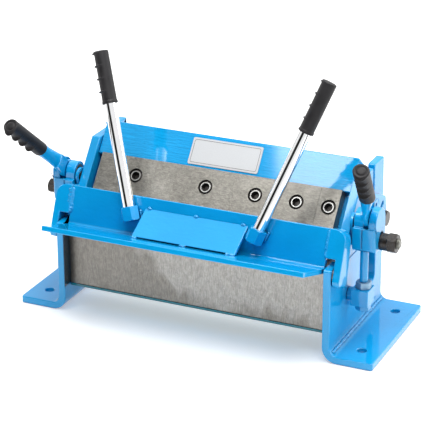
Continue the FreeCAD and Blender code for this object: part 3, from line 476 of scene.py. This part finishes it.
# %% Rounded edges on the frame's pieces
EDGE = {  # width by how a piece's name starts; the first that fits is taken
    "side_frame": 0.0012, "apron_leaf": 0.0007, "apron": 0.001, "beam": 0.0011,
    "bed": 0.0003, "finger": 0.0002, "yoke": 0.0009, "lower": 0.0008, "rear": 0.0008,
    "lift": 0.0004, "label": 0.0001}
OTHER_EDGE = 0.00025
SAME_CORNER = 0.000005
SAME_PLANE, SHARP_EDGE = math.radians(0.4), math.radians(32)


def round_edges(piece, width):
    """Join a CAD mesh into plain faces, then round its sharp edges."""
    weld = piece.modifiers.new("join_corners", "WELD")
    weld.merge_threshold = SAME_CORNER
    flat = piece.modifiers.new("join_flats", "DECIMATE")
    flat.decimate_type = "DISSOLVE"
    flat.angle_limit = SAME_PLANE
    bevel = piece.modifiers.new("round_edges", "BEVEL")
    bevel.width = width
    bevel.segments = 2
    bevel.limit_method = "ANGLE"
    bevel.angle_limit = SHARP_EDGE
    bevel.use_clamp_overlap = False
    shade = piece.modifiers.new("shade", "WEIGHTED_NORMAL")
    shade.keep_sharp = False
    shade.weight = 100


for name, piece in nodes.items():
    width = next((w for start, w in EDGE.items() if name.startswith(start)), OTHER_EDGE)
    round_edges(piece, width)
print("edges rounded on", len(nodes), "pieces")

# %% [markdown]
# Pieces made here
#
# A lathe, a loft and a weld are the same thing to a mesh: a row of rings with a
# skin over them. One helper joins rings of equal count with four-sided faces and
# closes both ends. A new piece then rides on a body of the frame, so that it moves with it.

# %% Helpers for new pieces
def add_mesh(name, corners, faces, finish, body=None, slot=None, smooth=True):
    """New piece from corners and faces, which rides on a body of the frame if one is given."""
    mesh = bpy.data.meshes.new(name)
    mesh.from_pydata([tuple(c) for c in corners], [], faces)
    mesh.update()
    piece = bpy.data.objects.new(name, mesh)
    bpy.context.scene.collection.objects.link(piece)
    for polygon in mesh.polygons:
        polygon.use_smooth = smooth
    mesh.materials.append(finishes[finish])
    if body:
        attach(piece, body)
    return piece


def skin(rings):
    """Corners and faces of a closed skin over rings of equal count."""
    count = len(rings[0])
    corners = [corner for ring in rings for corner in ring]
    faces = []
    for i in range(len(rings) - 1):
        for j in range(count):
            k = (j + 1) % count
            faces.append((i * count + j, i * count + k, (i + 1) * count + k, (i + 1) * count + j))
    last = (len(rings) - 1) * count
    faces.append(tuple(reversed(range(count))))
    faces.append(tuple(range(last, last + count)))
    return corners, faces


def several(skins):
    """Corners and faces of several skins as one mesh."""
    corners, faces = [], []
    for some_corners, some_faces in skins:
        start = len(corners)
        corners += some_corners
        faces += [tuple(start + i for i in face) for face in some_faces]
    return corners, faces


def axis_frame(base, along, side):
    """Matrix with its origin at base, Z along a piece and X towards one side of it."""
    z = Vector(along).normalized()
    x = (Vector(side) - Vector(side).dot(z) * z).normalized()
    turn = Matrix((x, z.cross(x), z)).transposed().to_4x4()
    return Matrix.Translation(base) @ turn


# %% [markdown]
# Where the apron and the finger face lie
#
# The apron is built upright about its hinge line and then leans back, and the
# fingers are built flat and then tilted up. The same two placements are used
# here, so a weld or a screw can be put down in the apron's or the slope's own
# directions.

# %% Placements of the apron and of the finger slope
HINGE_Y, HINGE_Z = -0.0716, 0.1024
APRON_LEAN = math.radians(18.4)
NOSE_Y, NOSE_Z = -0.0582, 0.1025
FINGER_SLOPE = math.radians(52)
LEAF_TOP = 0.0512
apron_place = Matrix.Translation((0, HINGE_Y, HINGE_Z)) @ Matrix.Rotation(-APRON_LEAN, 4, "X")
slope_place = Matrix.Translation((0, NOSE_Y, NOSE_Z)) @ Matrix.Rotation(FINGER_SLOPE, 4, "X")
print("top of the leaf", [round(c, 4) for c in apron_place @ Vector((0, 0, LEAF_TOP))])

# %% [markdown]
# Rubber grips
#
# All four grips are the same moulded kind: a slightly oval sleeve with thin
# ridges on the side where the fingers close, the last of them at the tip, soft
# hollows between them and a shallow ring in the flat end. It is a lathe profile
# whose radius also depends on the turn: a ridge is at its full height on the
# finger side and fades out round the back.

# %% Rubber grips
GRIP_SIDES = 72
RIDGES = 4
RIDGE_STEP = 0.0150
RIDGE_HALF = 0.0012
TIP_RIDGE = 0.0022
HOLLOW = -0.07
RING_STEP = 0.0004
MOUTH_LENGTH = 0.004
TIP_RINGS = (  # inset from the radius, drop from the tip, share of the ridge's height
    (0.0009, 0.0001, 0.6), (0.0024, 0, 0.2), (0.0028, 0.0006, 0), (0.0036, 0.0006, 0),
    (0.004, 0, 0), (0.006, -0.0002, 0))


def ridge_height(z, length):
    """Share of a ridge's height at this height of the grip, and below zero in a hollow."""
    best = HOLLOW
    for i in range(RIDGES):
        away = abs(z - (length - TIP_RIDGE - i * RIDGE_STEP)) / RIDGE_HALF
        if away < 1:
            best = max(best, math.cos(away * math.pi / 2) ** 0.6)
    low = length - TIP_RIDGE - (RIDGES - 1) * RIDGE_STEP - RIDGE_STEP / 2
    return best if z > low else max(best, 0.0)


def grip_ring(place, z, radius, lift, oval, spread=2):
    """One ring of a grip. A ridge lifts its +X side, over less of it as spread grows."""
    ring = []
    for j in range(GRIP_SIDES):
        turn = 2 * math.pi * j / GRIP_SIDES
        towards = max(0.0, math.cos(turn))
        r = radius + lift * towards ** spread
        across, deep = r * math.cos(turn) * oval[0], r * math.sin(turn) * oval[1]
        ring.append(place @ Vector((across, deep, z)))
    return ring


def rubber_grip(name, place, body, radius, length, bore, ridge, mouth, oval=(1, 1), spread=2):
    """A grip that replaces the CAD one; ridge and mouth say how far these stand out."""
    chamfer = 0.0006
    rings = [grip_ring(place, z, r, 0, (1, 1))
             for z, r in ((MOUTH_LENGTH, bore), (0.0003, bore), (0, bore + chamfer))]
    rings.append(grip_ring(place, 0, radius - chamfer, 0, oval))
    steps = int(length / RING_STEP)
    for i in range(steps):
        z = RING_STEP + (length - 3 * RING_STEP) * i / (steps - 1)
        at_mouth = mouth * max(0.0, 1 - (z / MOUTH_LENGTH) ** 4)
        lift = ridge * ridge_height(z, length)
        rings.append(grip_ring(place, z, radius + at_mouth, lift, oval, spread))
    for inset, drop, share in (*TIP_RINGS, (radius - 0.0012, -0.0003, 0)):
        rings.append(grip_ring(place, length - drop, radius - inset, ridge * share, oval, spread))
    grip = add_mesh(name, *skin(rings), "grip_rubber", body, "black_rubber")
    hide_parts(name.replace("_rubber", ""))
    print(name, len(rings), "rings")


LEAF_FACE = -0.006
HANDLE_SPLAY = math.radians(19.3)
HANDLE_X, SOCKET_HALF, HANDLE_UP = 0.0813, 0.0095, 0.038
HANDLE_REACH = 0.1211
handle_axes = {}
for side, sign, finger_side in (("left", -1, (-1, -0.45, 0)), ("right", 1, (-1, 0.35, 0))):
    way = Vector((sign * math.sin(HANDLE_SPLAY), 0, math.cos(HANDLE_SPLAY)))
    start = Vector((sign * HANDLE_X, LEAF_FACE - SOCKET_HALF, HANDLE_UP))
    handle_axes[side] = (start, way)
    place = apron_place @ axis_frame(start + way * HANDLE_REACH, way, finger_side)
    rubber_grip("handle_grip_rubber_" + side, place, "apron", radius=0.0086, length=0.062,
                bore=0.00705, ridge=0.0021, mouth=0.0006)

LEVER_Y, LEVER_Z, HUB_X = -0.0161, 0.151, 0.19215
LEVER_ARM, LEVER_CRANK, GRIP_CRANK, GRIP_LENGTH = 0.0615, 0.0104, 0.009, 0.068
for side, sign, lean in (("left", -1, math.radians(48.6)), ("right", 1, math.radians(43.7))):
    way = Vector((0, -math.sin(lean), math.cos(lean)))
    base = Vector((sign * (HUB_X + LEVER_CRANK), LEVER_Y, LEVER_Z)) + way * LEVER_ARM
    along = way * GRIP_LENGTH + Vector((sign * GRIP_CRANK, 0, 0))
    under = Vector((0, -math.cos(lean), -math.sin(lean)))
    place = axis_frame(base, along, under)
    rubber_grip("lever_grip_rubber_" + side, place, "lever_" + side, radius=0.0088,
                length=GRIP_LENGTH, bore=0.0046, ridge=0.0037, mouth=0,
                oval=(0.96, 1.06), spread=5)

# %% [markdown]
# Finger screws
#
# Each finger is held by one socket head screw in a round pocket. The heads are
# black, but their flat faces have been rubbed bright, which makes the white
# rings in the photograph. The profile is turned on the lathe, and the socket's
# rings are hexagons. The rings that make the flat face get a second finish.

# %% Finger screws with bright faces
SCREW_SIDES = 60
HEX_HALF = 0.0043
SCREW_PROFILE = (  # height above the head's seat, radius, is it a hexagon
    (-0.0135, 0.0040, 0), (-0.0127, 0.0049, 0), (0, 0.0049, 0), (0, 0.0074, 0),
    (0.0005, 0.0080, 0), (0.0084, 0.0080, 0), (0.0090, 0.0078, 0), (0.0096, 0.0070, 0),
    (0.0100, 0.0062, 0), (0.0100, 0.0050, 0), (0.0094, HEX_HALF, 1), (0.0042, HEX_HALF, 1))
FACE_RING = 8  # the profile's step that is the flat, bright face
SCREW_XS = (-0.1025, -0.012, 0.0509, 0.1019, 0.1410)
FINGER_HEIGHT, SCREW_DOWN, SCREW_SEAT = 0.0924, 0.0224, -0.0105
TURN_EACH = 0.4  # radians, as no two screws stop at the same turn


def screw_ring(place, z, radius, is_hexagon):
    """One ring of a screw, round or as a hexagon of this half width."""
    ring = []
    for j in range(SCREW_SIDES):
        turn = 2 * math.pi * j / SCREW_SIDES
        r = radius
        if is_hexagon:
            r = radius / math.cos((turn + math.pi / 6) % (math.pi / 3) - math.pi / 6)
        ring.append(place @ Vector((r * math.cos(turn), r * math.sin(turn), z)))
    return ring


skins = []
for i, x in enumerate(SCREW_XS):
    seat = Matrix.Translation((x, FINGER_HEIGHT - SCREW_DOWN, SCREW_SEAT))
    place = slope_place @ seat @ Matrix.Rotation(TURN_EACH * i, 4, "Z")
    skins.append(skin([screw_ring(place, *ring) for ring in SCREW_PROFILE]))
screws = add_mesh("finger_screw_set", *several(skins), "black_oxide", "beam", "black_steel",
                  smooth=False)
screws.data.materials.append(finishes["bright_face"])
per_screw = len(skins[0][1])
for index, polygon in enumerate(screws.data.polygons):
    ring = index % per_screw // SCREW_SIDES
    polygon.material_index = 1 if ring == FACE_RING else 0
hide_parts("finger_screws")
print("finger screws", len(screws.data.polygons), "faces")

# %% [markdown]
# Weld beads
#
# The apron is welded up: its arms to the leaf's ends, the gusset with three
# tacks above and below, and the handle sockets at their sides. A long bead runs
# along the top of each foot, beside the side frame that rises from it. A bead is a
# stack of small overlapping ripples with rounded ends, painted over with the
# rest. Each is a tube along its joint whose radius swells once per ripple.

# %% Weld beads
BEAD_SIDES = 12
BEAD_STEP = 0.0004


def bead(place, start, end, radius, rise=1.0, seed=0.0):
    """Skin of one bead from start to end, in the directions of place. rise flattens it."""
    start, end = Vector(start), Vector(end)
    frame_of_bead = axis_frame(start, end - start, (0.3, -1, 0.7))
    length = (end - start).length
    steps = max(8, int(length / BEAD_STEP))
    rings = []
    for i in range(steps + 1):
        z = length * i / steps
        from_end = min(z, length - z) + 0.0002
        taper = math.sqrt(max(0.0, 1 - max(0.0, 1 - from_end / radius) ** 2))
        wander = noise.noise(Vector((seed, z * 220, 3.1)))
        ripple = 0.8 + 0.2 * abs(math.cos(math.pi * z / (1.2 * radius) + 2.5 * wander))
        ring = []
        for j in range(BEAD_SIDES):
            turn = 2 * math.pi * j / BEAD_SIDES
            at = Vector((seed + z * 330, math.cos(turn) * 1.3, math.sin(turn) * 1.3))
            r = radius * taper * ripple * (1 + 0.45 * noise.noise(at))
            corner = Vector((r * math.cos(turn) * rise, r * math.sin(turn), z))
            ring.append(place @ frame_of_bead @ corner)
        rings.append(ring)
    return skin(rings)


def beads(name, body, place, runs):
    """One piece from several beads: runs are (start, end, radius) and perhaps a rise."""
    skins = [bead(place, *run, seed=7.0 * i) for i, run in enumerate(runs)]
    return add_mesh(name, *several(skins), "blue_enamel", body, "blue_paint")


UPPER_TACKS_Y, UPPER_TACKS_Z = LEAF_FACE - 0.0004, 0.0388
LOWER_TACKS_Y, LOWER_TACKS_Z = -0.0366, 0.0062
tacks = []
for x in (-0.059, 0.0, 0.0585):
    tacks.append(((x - 0.0025, UPPER_TACKS_Y, UPPER_TACKS_Z),
                  (x + 0.0025, UPPER_TACKS_Y, UPPER_TACKS_Z), 0.0022))
for x, half in ((-0.0605, 0.0035), (0.0, 0.0035), (0.0585, 0.005)):
    tacks.append(((x - half, LOWER_TACKS_Y, LOWER_TACKS_Z),
                  (x + half, LOWER_TACKS_Y, LOWER_TACKS_Z), 0.0021))
beads("gusset_welds", "apron", apron_place, tacks)

arm_runs = []
for x, radius, rise in ((-0.1606, 0.0042, 0.3), (0.1612, 0.0024, 0.3)):
    arm_runs.append(((x, -0.0060, 0.049), (x, -0.0064, 0.0185), radius, rise))
    arm_runs.append(((x, -0.0066, 0.026), (x, -0.0072, 0.0195), 0.0022, 0.8))
beads("arm_welds", "apron", apron_place, arm_runs)

socket_runs = []
for start, way in handle_axes.values():
    for out in (-1, 1):
        across = Vector((out * SOCKET_HALF * 1.05, SOCKET_HALF - 0.0012, 0))
        socket_runs.append((start + across - way * 0.002, start + across - way * 0.0145, 0.0018))
beads("socket_welds", "apron", apron_place, socket_runs)

FOOT_WELD_X, FOOT_WELD_Z = 0.1746, 0.0116
foot_runs = [((x, -0.081, FOOT_WELD_Z), (x, 0.083, FOOT_WELD_Z), 0.0021)
             for x in (-FOOT_WELD_X, FOOT_WELD_X)]
beads("foot_welds", "base", Matrix.Identity(4), foot_runs)
print("weld beads:", len(tacks) + len(arm_runs) + len(socket_runs) + len(foot_runs))

# %% [markdown]
# Bare plate
#
# The plate on the beam is left blank. Only its thin printed border is kept, as
# a flat line with rounded corners that lies on the plate's face.

# %% Border of the plate
PLATE_LOW, PLATE_HEIGHT, PLATE_HALF, PLATE_FACE = 0.0964, 0.033, 0.0445, -0.0052
BORDER_INSET, BORDER_LINE = 0.0023, 0.00045
BORDER_RISE, BORDER_SINK = 0.00008, -0.0001
OUTER_CORNER, INNER_CORNER = 0.0022, 0.0018
CORNER_STEPS = 6


def rounded_loop(inset, radius, z):
    """Corners of a rounded rectangle on the plate, inset from its edge."""
    loop = []
    half_x = PLATE_HALF - inset - radius
    half_y = PLATE_HEIGHT / 2 - inset - radius
    for corner, (sx, sy) in enumerate(((1, 1), (-1, 1), (-1, -1), (1, -1))):
        for step in range(CORNER_STEPS + 1):
            turn = math.pi / 2 * (corner + step / CORNER_STEPS)
            x = sx * half_x + radius * math.cos(turn)
            y = PLATE_LOW + PLATE_HEIGHT / 2 + sy * half_y + radius * math.sin(turn)
            loop.append(slope_place @ Vector((x, y, PLATE_FACE + z)))
    return loop


# Outside down and up, then inside up and down: the section of the line, run round.
loops = [rounded_loop(BORDER_INSET, OUTER_CORNER, BORDER_SINK),
         rounded_loop(BORDER_INSET, OUTER_CORNER, BORDER_RISE),
         rounded_loop(BORDER_INSET + BORDER_LINE, INNER_CORNER, BORDER_RISE),
         rounded_loop(BORDER_INSET + BORDER_LINE, INNER_CORNER, BORDER_SINK)]
count = len(loops[0])
faces = []
for i in range(len(loops)):
    m = (i + 1) % len(loops)
    for j in range(count):
        k = (j + 1) % count
        faces.append((i * count + j, i * count + k, m * count + k, m * count + j))
corners = [corner for loop in loops for corner in loop]
add_mesh("plate_border", corners, faces, "border_ink", "beam", "white_plate", smooth=False)
print("border", len(corners), "corners")

# %% [markdown]
# Thread of the guide stud
#
# The right stud ends in a few turns of thread outside its nut. A thread is a
# ridge wound round the stud, so it is a small three-sided section carried along
# a helix.

# %% Thread on the end of the right guide stud
STUD_Y, STUD_Z, STUD_R = -0.0126, 0.126, 0.006
THREAD_START, THREAD_END, THREAD_PITCH = 0.2240, 0.2270, 0.00175
THREAD_HALF, THREAD_ROOT, THREAD_CREST = 0.00065, -0.0003, 0.00035
TURN_STEPS = 36
FADE_STEPS = 8
rings = []
turns = (THREAD_END - THREAD_START) / THREAD_PITCH
for i in range(int(turns * TURN_STEPS) + 1):
    turn = 2 * math.pi * i / TURN_STEPS
    x = THREAD_START + THREAD_PITCH * i / TURN_STEPS
    ends = min(1.0, i / FADE_STEPS, (turns * TURN_STEPS - i) / FADE_STEPS + 0.05)
    ring = []
    for dx, dr in ((-THREAD_HALF, THREAD_ROOT), (THREAD_HALF, THREAD_ROOT),
                   (0, THREAD_CREST * ends)):
        r = STUD_R + dr
        ring.append((x + dx, STUD_Y + r * math.cos(turn), STUD_Z + r * math.sin(turn)))
    rings.append(ring)
add_mesh("stud_thread", *skin(rings), "turned_steel", "beam", "turned_steel", smooth=False)
print("thread", round(turns, 1), "turns")

# %% [markdown]
# Floor
#
# The photograph was cut out on white, with the soft shadow kept. A pale floor
# takes the shadow. It glows a little of itself, which lifts the shadow to the
# light blue-grey it has in the photograph and the rest of the floor to white.

# %% Floor
tree, shader = new_finish("pale_floor")
tree.links.new(ramp(tree, grain(tree, 0.4), 0.3, 0.7, 0.8, 0.82), shader.inputs["Base Color"])
settle(shader, Roughness=0.8, Specular_IOR_Level=0.1,
       Emission_Color=(1, 1, 1, 1), Emission_Strength=0.38)
FLOOR_HALF, FLOOR_Z = 9.0, -0.0002
corners = [(x * FLOOR_HALF, y * FLOOR_HALF, FLOOR_Z)
           for x, y in ((-1, -1), (1, -1), (1, 1), (-1, 1))]
floor = add_mesh("floor", corners, [(0, 1, 2, 3)], "pale_floor")
print("floor", 2 * FLOOR_HALF, "m wide")

# %% [markdown]
# Studio walls
#
# Chrome and glossy paint show the room as much as themselves. The room is white,
# so the camera and the reflections see white, while the light that it casts is
# weaker. In the photograph the upright blue faces are deep and free of glare,
# and each chromed rod has a thin dark line: both mirror something dark that
# stood in front, to the left of the camera. Three soft dark patches stand for it:
# a broad one for the fronts, a small one for the line on the rods, and a faint
# one higher up that deepens the left half of the sloping panel.

# %% Studio walls
world = bpy.data.worlds.new("studio")
world.use_nodes = True
bpy.context.scene.world = world
tree = world.node_tree
sky = tree.nodes["Background"]
rays = tree.nodes.new("ShaderNodeLightPath")
towards = tree.nodes.new("ShaderNodeTexCoord").outputs["Generated"]


def calculate(kind, one, two):
    """Result of one sum on two values, each of which is a number or an output."""
    node = tree.nodes.new("ShaderNodeMath")
    node.operation = kind
    for socket, value in zip(node.inputs, (one, two)):
        if hasattr(value, "is_linked"):
            tree.links.new(value, socket)
        else:
            socket.default_value = value
    return node.outputs[0]


def dark_patch(centre, inner, outer, tone):
    """Factor that is tone within inner degrees of a direction and one beyond outer."""
    dot = tree.nodes.new("ShaderNodeVectorMath")
    dot.operation = "DOT_PRODUCT"
    tree.links.new(towards, dot.inputs[0])
    dot.inputs[1].default_value = Vector(centre).normalized()
    edge = tree.nodes.new("ShaderNodeMapRange")
    edge.interpolation_type = "SMOOTHSTEP"
    edge.inputs["From Min"].default_value = math.cos(math.radians(outer))
    edge.inputs["From Max"].default_value = math.cos(math.radians(inner))
    edge.inputs["To Min"].default_value = 1.0
    edge.inputs["To Max"].default_value = tone
    tree.links.new(dot.outputs["Value"], edge.inputs["Value"])
    return edge.outputs["Result"]


broad_patch = dark_patch((-0.386, -0.899, 0.214), inner=17, outer=27, tone=0.02)
rod_patch = dark_patch((0.30, -0.90, 0.22), inner=4, outer=7, tone=0.3)
high_patch = dark_patch((-0.386, -0.56, 0.733), inner=18, outer=38, tone=0.5)
patches = calculate("MULTIPLY", calculate("MULTIPLY", broad_patch, rod_patch), high_patch)
in_mirrors = calculate("MAXIMUM", rays.outputs["Is Glossy Ray"],
                       rays.outputs["Is Transmission Ray"])
in_view = rays.outputs["Is Camera Ray"]
DIFFUSE_LEVEL = 0.38
elsewhere = calculate("SUBTRACT", 1.0, calculate("MAXIMUM", in_view, in_mirrors))
level = calculate("MULTIPLY", elsewhere, DIFFUSE_LEVEL)
level = calculate("ADD", level, in_view)
level = calculate("ADD", level, calculate("MULTIPLY", in_mirrors, patches))
tree.links.new(level, sky.inputs["Strength"])
sky.inputs["Color"].default_value = (1, 1, 1, 1)
print("walls: diffuse level", DIFFUSE_LEVEL)

# %% [markdown]
# Lamps
#
# A broad, soft key comes from the back on the right, as the shadow shows. A
# softbox overhead makes the flat tops brighter than the fronts. A smaller one in
# front and above is placed where the right half of the sloping panel mirrors it,
# which gives the pale, rippled sheen there. One softbox at either side lights the
# faces that are turned away from the others.

# %% Lamps
def lamp(name, kind, place, aim, power, **settings):
    """A lamp at a place, turned to face what it aims at."""
    data = bpy.data.lights.new(name, kind)
    data.energy = power
    for key, value in settings.items():
        setattr(data, key, value)
    light = bpy.data.objects.new(name, data)
    light.location = place
    light.rotation_euler = (Vector(aim) - Vector(place)).to_track_quat("-Z", "Y").to_euler()
    bpy.context.scene.collection.objects.link(light)


SOFTBOXES = (  # name, place, aim, power in watts, width, height
    ("front_softbox", (0.09, -0.470, 1.173), (0.0, 0, 0.15), 11, 1.0, 0.42),
    ("top_softbox", (0.22, 0.15, 1.6), (0, 0, 0.1), 11, 1.1, 0.8),
    ("right_softbox", (1.4, 0.75, 0.6), (0.15, 0, 0.1), 9, 0.9, 0.9),
    ("left_softbox", (-1.3, 0.6, 0.9), (-0.15, 0, 0.05), 6, 0.9, 0.9))
lamp("window", "SUN", (1.0, 1.2, 2.5), (0, 0, 0), 1.2, angle=math.radians(50))
for name, place, aim, power, width, height in SOFTBOXES:
    lamp(name, "AREA", place, aim, power, shape="RECTANGLE", size=width, size_y=height)
bpy.context.scene.view_settings.view_transform = "Standard"
